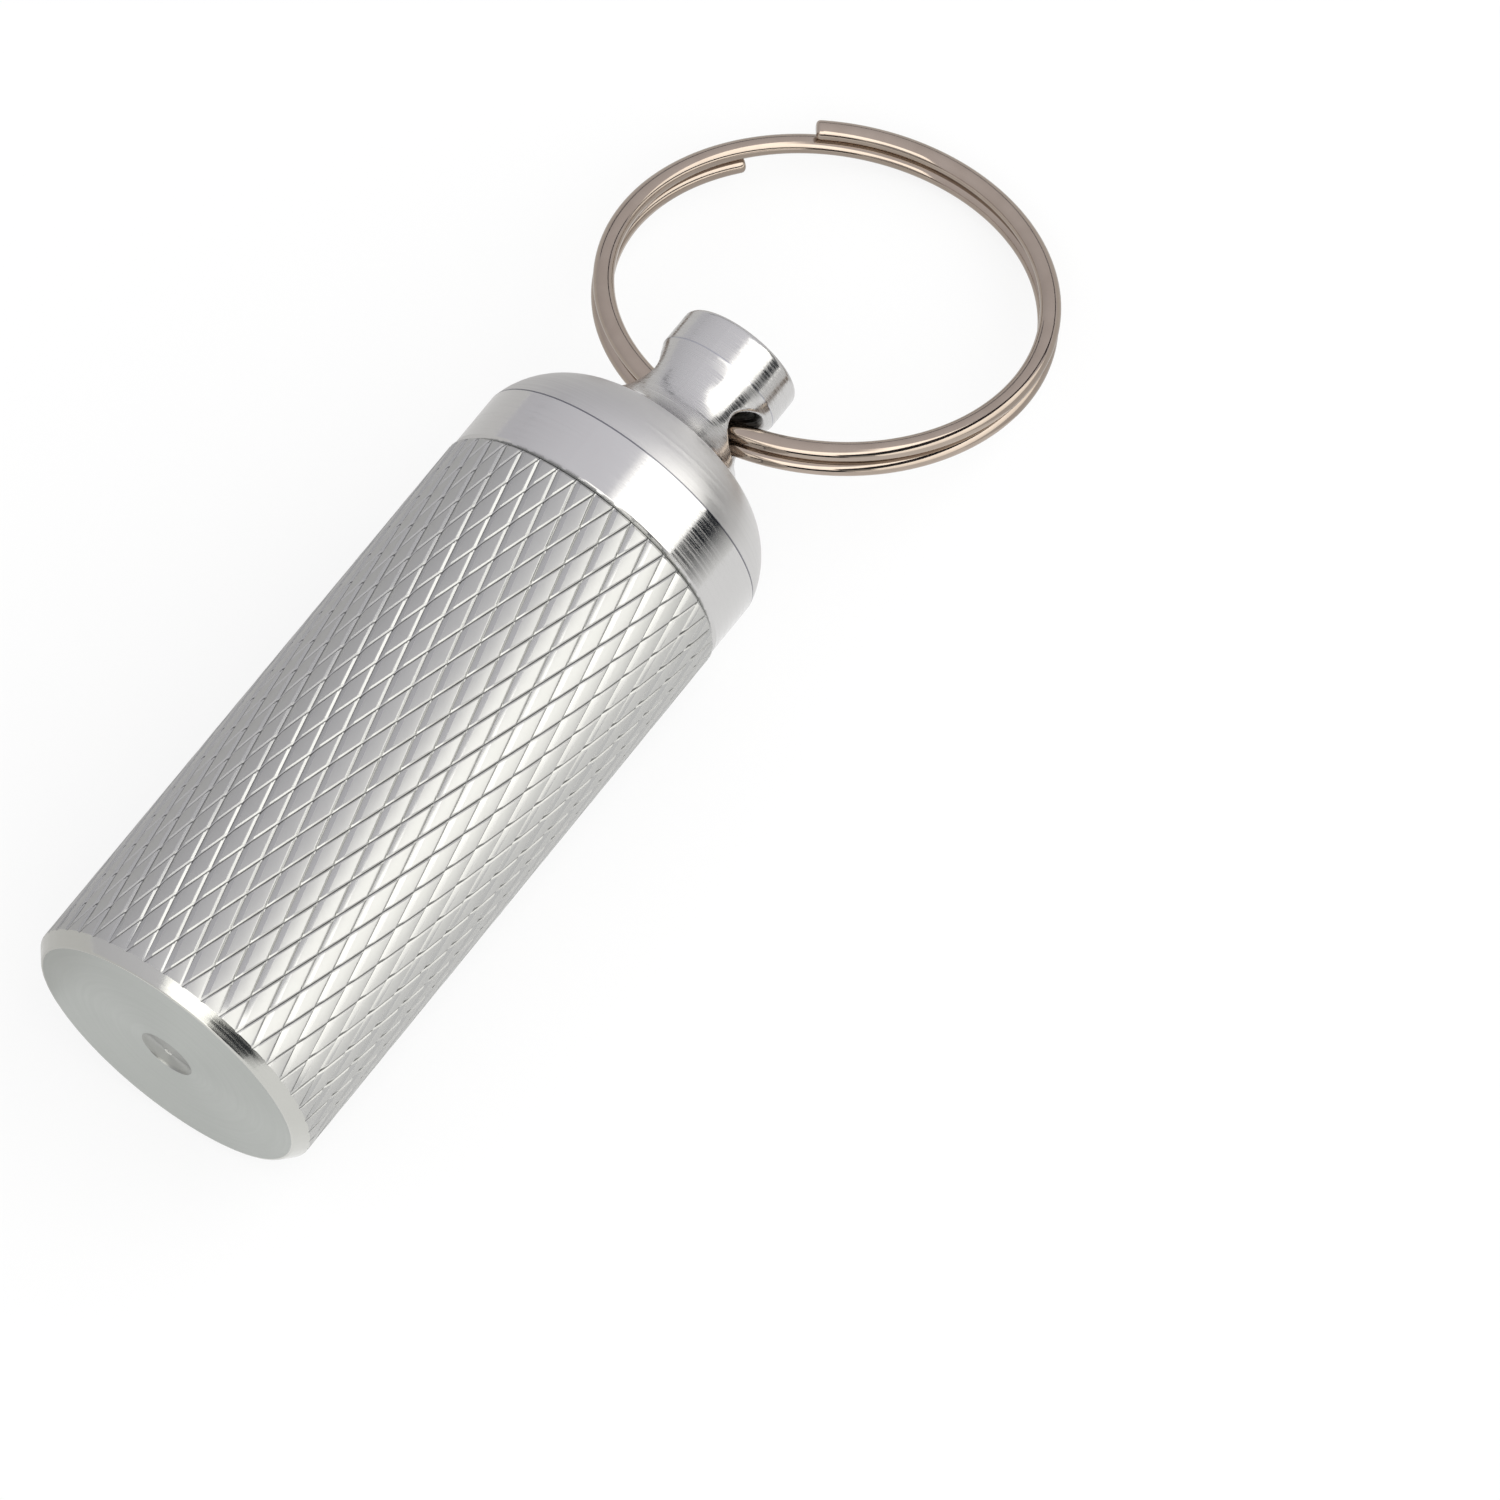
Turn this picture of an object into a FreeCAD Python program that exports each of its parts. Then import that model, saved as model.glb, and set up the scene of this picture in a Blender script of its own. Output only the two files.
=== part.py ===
import FreeCAD, Part
import math
import os
import Sketcher

# Pill fob: a knurled screw-top canister with a rubber seal, a domed cap with a drilled lug,
# and a two-turn split ring through the lug. It lies on its side: +X runs from the flat base
# to the lug, +Z is up, and the origin is the centre of the base face. Millimetres.

DRIVING_SIZES = {
    # canister
    "canister_diameter": 19.6,
    "canister_length": 39.8,
    "base_chamfer_width": 0.65,
    "base_chamfer_length": 0.8,
    "shoulder_edge": 0.15,
    "floor_thickness": 2.4,
    "bore_floor_radius": 0.8,
    "centre_mark_diameter": 3.6,
    "centre_mark_depth": 0.15,
    "centre_point_diameter": 0.5,
    "centre_point_depth": 0.2,
    # threaded neck on the canister
    "neck_length": 6.0,
    "shoulder_width": 2.6,
    "neck_wall": 0.9,
    "neck_edge": 0.2,
    "pilot_length": 0.6,
    "seal_seat_length": 1.3,
    "thread_height": 0.6,
    "thread_depth": 0.5,
    "thread_pitch": 1.5,
    "thread_crest_width": 0.4,
    "thread_flank_slope": 0.577,
    "thread_clearance": 0.15,
    "thread_lead": 0.3,
    "cut_margin": 0.1,
    # rubber seal
    "seal_cord_diameter": 1.0,
    "seal_clearance": 0.05,
    # cap
    "cap_step": 0.1,
    "cap_seam": 0.1,
    "cap_rim_edge": 0.2,
    "cap_band_height": 3.8,
    "dome_height": 4.3,
    "dome_radius": 5.8,
    "lug_base_diameter": 11.3,
    "lug_waist_height": 5.3,
    "lug_waist_radius": 4.0,
    "lug_head_diameter": 8.1,
    "lug_head_length": 2.4,
    "lug_head_edge": 0.35,
    "ring_hole_diameter": 3.6,
    "ring_hole_height": 3.05,
    "ring_hole_edge": 0.3,
    "mouth_clearance": 0.2,
    # split ring
    "ring_outer_diameter": 28.0,
    "ring_wire_width": 1.25,
    "ring_wire_height": 0.75,
    "ring_wire_edge": 0.3,
    "ring_turn_gap": 0.45,
    "ring_first_end": 37.0,
    "ring_step_angle": 24.0,
    "ring_floor_clearance": 0.02,
}

doc = FreeCAD.newDocument("PillFob")
sheet = doc.addObject("Spreadsheet::Sheet", "Sizes")
for row, (alias, value) in enumerate(DRIVING_SIZES.items(), start=1):
    sheet.set(f"A{row}", alias)
    sheet.set(f"B{row}", str(value))
    sheet.setAlias(f"B{row}", alias)
doc.recompute()


class Size:
    """A length that knows its value and its formula in the sheet's names."""

    def __init__(self, value, formula):
        self.value = value
        self.formula = formula

    def joined(self, sign, other, value):
        right = other.formula if isinstance(other, Size) else str(other)
        return Size(value, f"({self.formula} {sign} {right})")

    def __add__(self, other):
        return self.joined("+", other, self.value + plain(other))

    def __sub__(self, other):
        return self.joined("-", other, self.value - plain(other))

    def __mul__(self, other):
        return self.joined("*", other, self.value * plain(other))

    def __truediv__(self, other):
        return self.joined("/", other, self.value / plain(other))


def plain(length):
    return length.value if isinstance(length, Size) else float(length)


def size(alias):
    return Size(float(sheet.get(alias)), f"Sizes.{alias}")


def half(alias):
    return size(alias) / 2


# sides that an arc can swell to, seen along its run
LEFT = 1
RIGHT = -1

# stations along the axis, from the base face, and the radii, from the canister's wall inwards
shoulder = size("canister_length")
mouth = shoulder + size("neck_length")
wall_radius = half("canister_diameter")
cap_radius = wall_radius - size("cap_step")
neck_radius = wall_radius - size("shoulder_width")
bore_radius = neck_radius - size("neck_wall")
crest_radius = neck_radius + size("thread_height")
root_radius = crest_radius - size("thread_depth")
clearance = size("thread_clearance")
slope = size("thread_flank_slope")
pitch = size("thread_pitch")
crest_half_width = half("thread_crest_width")
margin = size("cut_margin")
thread_start = shoulder + half("seal_seat_length")
pilot_start = mouth - size("pilot_length")
seal_centre = shoulder + size("seal_clearance") + half("seal_cord_diameter")
seal_radius = neck_radius + size("seal_clearance") + half("seal_cord_diameter")
rim = shoulder + size("cap_seam")
band_top = rim + size("cap_band_height")
dome_top = band_top + size("dome_height")
hole_centre = dome_top + size("ring_hole_height")


def new_body(label):
    body = doc.addObject("PartDesign::Body", label)
    body.Label = label
    body.Placement = FreeCAD.Placement()
    return body


def side_sketch(body, name):
    """An empty sketch on the body's XZ plane: across is the axis, up is the radius."""
    sketch = body.newObject("Sketcher::SketchObject", name)
    plane = next(o for o in body.Origin.OriginFeatures if o.Role == "XZ_Plane")
    sketch.AttachmentSupport = (plane, [""])
    sketch.MapMode = "FlatFace"
    return sketch


def bind(sketch, name, constraint, length):
    """Adds a named dimension and ties it to the sheet."""
    index = sketch.addConstraint(constraint)
    sketch.renameConstraint(index, name)
    sketch.setExpression(f"Constraints.{name}", length.formula)


def arc_geometry(start, end, radius, bulge):
    """The arc between two points that swells to the LEFT or RIGHT of the way from start to end."""
    chord = end - start
    middle = (start + end) * 0.5
    left = FreeCAD.Vector(-chord.y, chord.x, 0).normalize()
    height = math.sqrt(radius**2 - (chord.Length / 2) ** 2)
    centre = middle - left * height * bulge
    first, last = (end, start) if bulge == LEFT else (start, end)
    angles = [math.atan2(p.y - centre.y, p.x - centre.x) for p in (first, last)]
    return Part.ArcOfCircle(Part.Circle(centre, FreeCAD.Vector(0, 0, 1), radius), *angles)


def draw_outline(sketch, corners):
    """Draws a closed outline through (axial, radial) corners.

    A corner that an arc leaves also holds the arc's radius and the side it swells to.
    """
    points = [FreeCAD.Vector(plain(x), plain(r), 0) for x, r, *_ in corners]
    tails = []
    heads = []
    for i, (_, _, *arc) in enumerate(corners):
        start, end = points[i], points[(i + 1) % len(points)]
        if arc:
            radius, bulge = arc
            run = sketch.addGeometry(arc_geometry(start, end, radius.value, bulge), False)
            bind(sketch, f"radius_{i}", Sketcher.Constraint("Radius", run, radius.value), radius)
            ends = (2, 1) if bulge == LEFT else (1, 2)
        else:
            run = sketch.addGeometry(Part.LineSegment(start, end), False)
            ends = (1, 2)
        tails.append((run, ends[0]))
        heads.append((run, ends[1]))
    for i, (x, r, *_) in enumerate(corners):
        run, place = tails[i]
        sketch.addConstraint(Sketcher.Constraint("Coincident", *heads[i - 1], run, place))
        for kind, length, axis in (("DistanceX", x, -2), ("DistanceY", r, -1)):
            if isinstance(length, Size):
                dimension = Sketcher.Constraint(kind, -1, 1, run, place, length.value)
                bind(sketch, f"{kind}_{i}", dimension, length)
            else:
                sketch.addConstraint(Sketcher.Constraint("PointOnObject", run, place, axis))


def revolve(body, name, sketch):
    turned = body.newObject("PartDesign::Revolution", name)
    turned.Profile = sketch
    turned.ReferenceAxis = (sketch, ["H_Axis"])
    turned.Angle = 360
    doc.recompute()
    return turned


def cut_thread(body, name, sketch, length):
    """Cuts a right-hand helical groove of the sketched section along the axis."""
    before = body.Shape.Volume
    groove = body.newObject("PartDesign::SubtractiveHelix", name)
    groove.Profile = sketch
    groove.ReferenceAxis = (sketch, ["H_Axis"])
    groove.Mode = "pitch-height-angle"
    groove.setExpression("Pitch", pitch.formula)
    groove.setExpression("Height", length.formula)
    doc.recompute()
    if body.Shape.Volume > before - 1:
        raise RuntimeError(f"{name} cut nothing")
    return groove


def make_canister():
    body = new_body("canister")
    edge = size("shoulder_edge")
    mark = half("centre_mark_diameter")
    mark_depth = size("centre_mark_depth")
    lip = size("neck_edge")
    floor = size("floor_thickness")
    round_floor = size("bore_floor_radius")
    seat_end = shoulder + size("seal_seat_length")
    lead = crest_radius - neck_radius
    corners = [
        (mark_depth + size("centre_point_depth"), 0),
        (mark_depth, half("centre_point_diameter")),
        (mark_depth, mark),
        (0, mark + mark_depth),
        (0, wall_radius - size("base_chamfer_width")),
        (size("base_chamfer_length"), wall_radius),
        (shoulder - edge, wall_radius),
        (shoulder, wall_radius - edge),
        (shoulder, neck_radius),
        (seat_end, neck_radius),
        (seat_end + lead, crest_radius),
        (pilot_start - lead, crest_radius),
        (pilot_start, neck_radius),
        (mouth - lip, neck_radius),
        (mouth, neck_radius - lip),
        (mouth, bore_radius + lip),
        (mouth - lip, bore_radius),
        (floor + round_floor, bore_radius, round_floor, LEFT),
        (floor, bore_radius - round_floor),
        (floor, 0),
    ]
    outline = side_sketch(body, "canister_outline")
    draw_outline(outline, corners)
    revolve(body, "canister_turned", outline)

    # male thread: the groove starts and ends in the air of the seal seat and the pilot
    groove_half = pitch / 2 - crest_half_width
    section = side_sketch(body, "neck_groove")
    draw_outline(section, [
        (thread_start - groove_half + size("thread_depth") * slope, root_radius),
        (thread_start + groove_half - size("thread_depth") * slope, root_radius),
        (thread_start + groove_half + margin * slope, crest_radius + margin),
        (thread_start - groove_half - margin * slope, crest_radius + margin),
    ])
    cut_thread(body, "neck_thread", section, mouth - thread_start)
    return body


def make_seal():
    seal = doc.addObject("Part::Torus", "seal_ring")
    seal.Label = "seal_ring"
    seal.setExpression("Radius1", seal_radius.formula)
    seal.setExpression("Radius2", half("seal_cord_diameter").formula)
    seal.Placement = FreeCAD.Placement(FreeCAD.Vector(), FreeCAD.Rotation(FreeCAD.Vector(0, 1, 0), 90))
    seal.setExpression("Placement.Base.x", seal_centre.formula)
    doc.recompute()
    return seal


def make_cap():
    body = new_body("cap")
    head = half("lug_head_diameter")
    head_edge = size("lug_head_edge")
    rim_edge = size("cap_rim_edge")
    crease = dome_top + size("lug_waist_height")
    top = crease + size("lug_head_length")
    ceiling = mouth + size("mouth_clearance")
    seal_room = size("seal_clearance") + size("seal_clearance")
    pocket_roof = shoulder + size("seal_cord_diameter") + seal_room
    pocket_radius = neck_radius + size("seal_cord_diameter") + seal_room + size("seal_clearance")
    minor = root_radius + clearance
    major = crest_radius + clearance
    lead = size("thread_lead")
    pilot = neck_radius + clearance

    # half the width of the female groove where it opens into the bore
    groove_half = crest_half_width + (crest_radius - minor) * slope + clearance
    relief_end = pilot_start + clearance
    relief_start = relief_end - groove_half - groove_half - margin
    relief = major + margin
    corners = [
        (ceiling, 0),
        (ceiling, pilot),
        (relief_end, pilot),
        (relief_end, relief),
        (relief_start, relief),
        (relief_start, minor),
        (pocket_roof + lead, minor),
        (pocket_roof, minor + lead),
        (pocket_roof, pocket_radius),
        (rim, pocket_radius),
        (rim, cap_radius - rim_edge),
        (rim + rim_edge, cap_radius),
        (band_top, cap_radius, size("dome_radius"), LEFT),
        (dome_top, half("lug_base_diameter"), size("lug_waist_radius"), RIGHT),
        (crease, head),
        (top - head_edge, head, head_edge, LEFT),
        (top, head - head_edge),
        (top, 0),
    ]
    outline = side_sketch(body, "cap_outline")
    draw_outline(outline, corners)
    revolve(body, "cap_turned", outline)

    # female thread: half a pitch out of step with the male groove, so that its ridge runs in it
    start = thread_start - pitch / 2
    bottom = minor - margin
    bottom_half = groove_half + margin * slope
    top_half = crest_half_width - clearance * slope + clearance
    section = side_sketch(body, "cap_groove")
    draw_outline(section, [
        (start - bottom_half, bottom),
        (start + bottom_half, bottom),
        (start + top_half, major),
        (start - top_half, major),
    ])
    cut_thread(body, "cap_thread", section, relief_end - groove_half - margin / 2 - start)

    # cross hole for the split ring, with rounded mouths
    across = side_sketch(body, "ring_hole_circle")
    radius = half("ring_hole_diameter")
    centre = FreeCAD.Vector(hole_centre.value, 0, 0)
    ring = across.addGeometry(Part.Circle(centre, FreeCAD.Vector(0, 0, 1), radius.value), False)
    bind(across, "hole_radius", Sketcher.Constraint("Radius", ring, radius.value), radius)
    place = Sketcher.Constraint("DistanceX", -1, 1, ring, 3, hole_centre.value)
    bind(across, "hole_place", place, hole_centre)
    across.addConstraint(Sketcher.Constraint("PointOnObject", ring, 3, -1))
    before = body.Shape.Volume
    hole = body.newObject("PartDesign::Pocket", "ring_hole")
    hole.Profile = across
    hole.SideType = "Symmetric"
    hole.Type = "ThroughAll"
    doc.recompute()
    if body.Shape.Volume > before - 1:
        raise RuntimeError("the ring hole cut nothing")

    mouths = []
    for number, edge in enumerate(hole.Shape.Edges, start=1):
        faces = hole.Shape.ancestorsOfType(edge, Part.Face)
        bores = [f for f in faces if isinstance(f.Surface, Part.Cylinder) and abs(f.Surface.Axis.y) > 0.99]
        if len(bores) == 1:
            mouths.append(f"Edge{number}")
    rounded = body.newObject("PartDesign::Fillet", "ring_hole_edge")
    rounded.Base = (hole, mouths)
    rounded.setExpression("Radius", size("ring_hole_edge").formula)
    doc.recompute()
    return body


def tangent_arc(start, corner, end):
    """The arc that leaves start towards corner and arrives at end from it."""
    chord = end - start
    weight = (corner - start).normalize().dot(chord) / chord.Length
    middle = (start + end) * 0.5
    shoulder_point = (middle + corner * weight) * (1 / (1 + weight))
    return Part.Arc(start, shoulder_point, end).toShape()


def make_split_ring():
    """Two turns of flat wire in two layers, with one short step down between the wire's ends."""
    width = size("ring_wire_width").value
    height = size("ring_wire_height").value
    edge = size("ring_wire_edge").value
    layer = (height + size("ring_turn_gap").value) / 2
    outer = half("ring_outer_diameter").value
    middle = outer - width / 2
    first_end = size("ring_first_end").value
    step = size("ring_step_angle").value
    quarter = (360 - step) / 4

    def at(angle, level, radius=middle):
        turn = math.radians(angle)
        return FreeCAD.Vector(radius * math.cos(turn), radius * math.sin(turn), level)

    def onward(angle):
        turn = math.radians(angle)
        return FreeCAD.Vector(math.sin(turn), -math.cos(turn), 0)

    def flat_turn(begin, level):
        for k in range(4):
            stops = [begin - quarter * part for part in (k, k + 0.5, k + 1)]
            yield Part.Arc(*[at(a, level) for a in stops]).toShape()

    # the step is a pair of tangent arcs that meet half way down
    step_top = first_end + step
    start, end = at(step_top, layer), at(first_end, -layer)
    leave, arrive = onward(step_top), onward(first_end)
    span = end - start
    both = leave + arrive
    a = both.dot(both) - 4
    b = -2 * span.dot(both)
    reach = (-b - math.sqrt(b * b - 4 * a * span.dot(span))) / (2 * a)
    leave_corner = start + leave * reach
    arrive_corner = end - arrive * reach
    meet = (leave_corner + arrive_corner) * 0.5
    step_arcs = [tangent_arc(start, leave_corner, meet), tangent_arc(meet, arrive_corner, end)]
    path = Part.Wire([*flat_turn(first_end, layer), *step_arcs, *flat_turn(first_end, -layer)])

    # wire section at the first end: radial across, ring axis up, corners rounded
    out = at(first_end, 0, 1)
    up = FreeCAD.Vector(0, 0, 1)
    home = at(first_end, layer)
    runs = []
    for sx, sy in ((1, 1), (-1, 1), (-1, -1), (1, -1)):
        corner = home + out * (sx * (width / 2 - edge)) + up * (sy * (height / 2 - edge))
        side, lid = out * (sx * edge), up * (sy * edge)
        bend = (side + lid) * math.sqrt(0.5)
        ends = (corner + side, corner + lid) if sx == sy else (corner + lid, corner + side)
        runs.append(Part.Arc(ends[0], corner + bend, ends[1]))
    loop = []
    for here, after in zip(runs, runs[1:] + runs[:1]):
        loop.append(here.toShape())
        loop.append(Part.LineSegment(here.EndPoint, after.StartPoint).toShape())
    section = Part.Wire(loop)

    shell = Part.BRepOffsetAPI.MakePipeShell(path)
    shell.add(section)
    shell.build()
    shell.makeSolid()
    ring = doc.addObject("Part::Feature", "split_ring")
    ring.Label = "split_ring"
    ring.Shape = Part.Solid(shell.shape())
    report_least_gap(path, width, height)

    # the ring hangs in the hole and leans until its far side lies on the floor under the canister
    sag = middle - math.sqrt(middle**2 - half("lug_head_diameter").value ** 2)
    reach_out = middle - sag / 2
    far = reach_out + outer - edge
    low = layer + height / 2 - edge
    drop = wall_radius.value - edge - size("ring_floor_clearance").value
    lean = math.asin(drop / math.hypot(far, low)) - math.atan2(low, far)
    turn = FreeCAD.Rotation(FreeCAD.Vector(0, 1, 0), math.degrees(lean))
    centre = FreeCAD.Vector(hole_centre.value, 0, 0) + turn.multVec(FreeCAD.Vector(reach_out, 0, 0))
    ring.Placement = FreeCAD.Placement(centre, turn)
    print(f"split ring leans {math.degrees(lean):.3f} deg, centre {centre.x:.3f} {centre.z:.3f}")
    return ring


def report_least_gap(path, width, height):
    """Measures, on points of the wire's surface, how near one turn comes to the next."""
    spacing = 0.4
    centres = path.discretize(Distance=spacing)
    corners = [(x * width / 2, z * height / 2) for x in (-1, 0, 1) for z in (-1, 0, 1)]
    rings = []
    for c in centres:
        out = FreeCAD.Vector(c.x, c.y, 0).normalize()
        rings.append([c + out * x + FreeCAD.Vector(0, 0, z) for x, z in corners])
    turn = 2 * math.pi * math.hypot(centres[0].x, centres[0].y) / spacing
    least = math.inf
    for i, points in enumerate(rings):
        for j in range(i + int(turn * 0.9), min(i + int(turn * 1.1), len(rings))):
            for p in points:
                least = min(least, *(p.distanceToPoint(q) for q in rings[j]))
    print(f"split ring: least gap between its turns {least:.3f} mm")


pieces = [make_canister(), make_seal(), make_cap(), make_split_ring()]
doc.recompute()

for item in doc.Objects:
    if "Invalid" in item.State or "Error" in item.State:
        raise RuntimeError(f"{item.Name}: {item.State}")
for piece in pieces:
    if piece.Shape.isNull() or not piece.Shape.isValid():
        raise RuntimeError(f"{piece.Label} has no valid shape")

os.makedirs("parts", exist_ok=True)
for piece in pieces:
    piece.Shape.exportStep(f"parts/{piece.Label}.step")
    print(piece.Label, "solids", len(piece.Shape.Solids), "volume", round(piece.Shape.Volume, 2))
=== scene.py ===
import math

import bmesh
import bpy
from mathutils import Matrix, Vector


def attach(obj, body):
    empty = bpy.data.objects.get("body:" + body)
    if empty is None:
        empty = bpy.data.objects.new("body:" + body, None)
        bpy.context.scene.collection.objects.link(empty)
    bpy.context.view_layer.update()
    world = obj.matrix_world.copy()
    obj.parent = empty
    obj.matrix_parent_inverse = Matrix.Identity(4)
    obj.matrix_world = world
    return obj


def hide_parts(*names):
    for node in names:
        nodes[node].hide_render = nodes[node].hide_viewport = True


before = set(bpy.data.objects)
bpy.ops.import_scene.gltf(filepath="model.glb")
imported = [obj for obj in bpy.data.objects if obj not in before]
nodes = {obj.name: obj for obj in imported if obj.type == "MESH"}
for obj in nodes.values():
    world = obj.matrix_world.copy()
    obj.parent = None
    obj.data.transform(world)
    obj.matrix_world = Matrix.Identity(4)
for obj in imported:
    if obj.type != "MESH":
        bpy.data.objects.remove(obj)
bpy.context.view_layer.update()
scene = bpy.context.scene
mm = 0.001  # pieces are drawn in millimetres and scaled to metres when finished
print("frame loaded:", ", ".join(sorted(nodes)))


def linearColour(hexText):
    parts = [int(hexText[i:i + 2], 16) / 255 for i in (1, 3, 5)]
    linear = [c / 12.92 if c <= 0.04045 else ((c + 0.055) / 1.055) ** 2.4 for c in parts]
    return (*linear, 1.0)


def addNode(tree, kind, inputs=None, **settings):
    node = tree.nodes.new(kind)
    for name, value in settings.items():
        setattr(node, name, value)
    for socket, value in (inputs or {}).items():
        if isinstance(value, bpy.types.NodeSocket):
            tree.links.new(value, node.inputs[socket])
        else:
            node.inputs[socket].default_value = value
    return node


def newMaterial(name):
    material = bpy.data.materials.new(name)
    material.use_nodes = True
    material.node_tree.nodes.clear()
    return material, material.node_tree


def newObject(name, bm):
    mesh = bpy.data.meshes.new(name)
    bm.to_mesh(mesh)
    bm.free()
    made = bpy.data.objects.new(name, mesh)
    scene.collection.objects.link(made)
    return made


def everything(bm):
    return bm.verts[:] + bm.edges[:] + bm.faces[:]


def turnDrawing(bm, degrees, axis):
    matrix = Matrix.Rotation(math.radians(degrees), 3, axis)
    bmesh.ops.rotate(bm, verts=bm.verts[:], cent=(0, 0, 0), matrix=matrix)


def finishPiece(name, bm, materials, sharpAngle):
    # closes the drawing: metres, outward normals, smooth faces with crisp edges
    bmesh.ops.recalc_face_normals(bm, faces=bm.faces[:])
    bmesh.ops.scale(bm, vec=(mm, mm, mm), verts=bm.verts[:])
    openEdges = sum(not e.is_manifold for e in bm.edges)
    triangles = sum(len(f.verts) - 2 for f in bm.faces)
    piece = newObject(name, bm)
    for material in materials:
        piece.data.materials.append(material)
    piece.data.shade_smooth()
    piece.data.set_sharp_from_angle(angle=math.radians(sharpAngle))
    print(f"{name}: {triangles} triangles, {openEdges} open edges")
    return piece


# bare aluminium, turned on a lathe and lightly polished: a bright neutral grey, with fine lines round the
# axis that stretch and streak its highlights, coarser on the lug; edges are crisp tool steps, drawn as thin
# rings of painted shade and one of painted highlight, each with its place along the axis, half width and
# tone, and the dome is left satin; sizes are in mm
turned = {
    "colour": "#d0cfce", "dull": "#c8c7c6", "patchSize": 6.0,
    "roughness": 0.18, "streak": 0.5, "noiseLow": 0.35, "noiseHigh": 0.65,
    "stretch": 0.6, "stretchTurn": 0.25,
    "lineWidth": 0.1, "lineLength": 9.0, "lineDepth": 0.0012, "faceFeed": -0.5,
    "edges": (
        (43.7, 0.05, "#7c7c82"), (47.97, 0.03, "#85858a"),
        (48.04, 0.03, "#e8e8ea"), (53.3, 0.04, "#b4b4b9"),
    ),
    "satinFrom": 43.7, "satinTo": 48.0, "satin": 0.28,
    "lugFrom": 48.2, "lugBlend": 0.5, "lugWidth": 0.3, "lugDepth": 0.012, "lugSatin": 0.06,
}


def makeTurnedAluminium(name, settings):
    material, tree = newMaterial(name)
    place = addNode(tree, "ShaderNodeTexCoord").outputs["Object"]
    axes = addNode(tree, "ShaderNodeSeparateXYZ", {"Vector": place}).outputs
    flat = addNode(tree, "ShaderNodeVectorMath", {0: place, 1: (0, 1, 1)},
                   operation="MULTIPLY").outputs["Vector"]
    radial = addNode(tree, "ShaderNodeVectorMath", {0: flat}, operation="LENGTH").outputs["Value"]
    # the tool's path: along the wall and across the end faces alike
    path = addNode(tree, "ShaderNodeMath", {0: radial, 1: settings["faceFeed"], 2: axes["X"]},
                   operation="MULTIPLY_ADD").outputs["Value"]
    # real feed lines are about 0.05 mm apart: drawn twice as coarse so that they show, coarser on the lug
    cuts = []
    for width in (settings["lineWidth"], settings["lugWidth"]):
        across = addNode(tree, "ShaderNodeMath", {0: path, 1: settings["lineLength"] / width},
                         operation="MULTIPLY").outputs["Value"]
        course = addNode(tree, "ShaderNodeCombineXYZ", {"X": across, "Y": axes["Y"], "Z": axes["Z"]})
        cut = addNode(tree, "ShaderNodeTexNoise", {
            "Vector": course.outputs["Vector"], "Scale": 1 / (settings["lineLength"] * mm),
            "Detail": 2.0, "Roughness": 0.6})
        cuts.append(cut.outputs["Fac"])
    lines, marks = cuts

    patches = addNode(tree, "ShaderNodeTexNoise", {
        "Vector": place, "Scale": 1 / (settings["patchSize"] * mm), "Detail": 2.0}).outputs["Fac"]
    colour = addNode(tree, "ShaderNodeMix", {
        "Factor": patches, "A": linearColour(settings["colour"]), "B": linearColour(settings["dull"])},
        data_type="RGBA").outputs[2]
    # painted shade and painted highlight: a thin ring of flat tone at each tool step
    for x, half, tone in settings["edges"]:
        paintedLine = addNode(tree, "ShaderNodeMath", {0: axes["X"], 1: x * mm, 2: half * mm},
                       operation="COMPARE").outputs["Value"]
        colour = addNode(tree, "ShaderNodeMix", {"Factor": paintedLine, "A": colour, "B": linearColour(tone)},
                         data_type="RGBA").outputs[2]

    low, high = (settings["roughness"] * (1 + sign * settings["streak"]) for sign in (-1, 1))
    rough = addNode(tree, "ShaderNodeMapRange", {
        "Value": lines, "From Min": settings["noiseLow"], "From Max": settings["noiseHigh"],
        "To Min": low, "To Max": high}).outputs["Result"]
    middle = (settings["satinFrom"] + settings["satinTo"]) / 2
    half = (settings["satinTo"] - settings["satinFrom"]) / 2
    onDome = addNode(tree, "ShaderNodeMath", {0: axes["X"], 1: middle * mm, 2: half * mm},
                     operation="COMPARE").outputs["Value"]
    rough = addNode(tree, "ShaderNodeMath", {0: onDome, 1: settings["satin"], 2: rough},
                    operation="MULTIPLY_ADD").outputs["Value"]
    onLug = addNode(tree, "ShaderNodeMapRange", {
        "Value": axes["X"], "From Min": settings["lugFrom"] * mm,
        "From Max": (settings["lugFrom"] + settings["lugBlend"]) * mm}).outputs["Result"]
    rough = addNode(tree, "ShaderNodeMath", {0: onLug, 1: settings["lugSatin"], 2: rough},
                    operation="MULTIPLY_ADD").outputs["Value"]

    depth = addNode(tree, "ShaderNodeMath", {0: onLug, 1: settings["lugDepth"] / settings["lineDepth"]},
                    operation="MULTIPLY").outputs["Value"]
    relief = addNode(tree, "ShaderNodeMath", {0: marks, 1: depth, 2: lines},
                     operation="MULTIPLY_ADD").outputs["Value"]
    bump = addNode(tree, "ShaderNodeBump", {
        "Height": relief, "Strength": 1.0, "Distance": settings["lineDepth"] * mm})
    roundAxis = addNode(tree, "ShaderNodeTangent", direction_type="RADIAL", axis="X")
    shader = addNode(tree, "ShaderNodeBsdfPrincipled", {
        "Base Color": colour, "Metallic": 1.0, "Roughness": rough,
        "Anisotropic": settings["stretch"], "Anisotropic Rotation": settings["stretchTurn"],
        "Tangent": roundAxis.outputs["Tangent"], "Normal": bump.outputs["Normal"]})
    addNode(tree, "ShaderNodeOutputMaterial", {"Surface": shader.outputs["BSDF"]})
    return material
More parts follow.
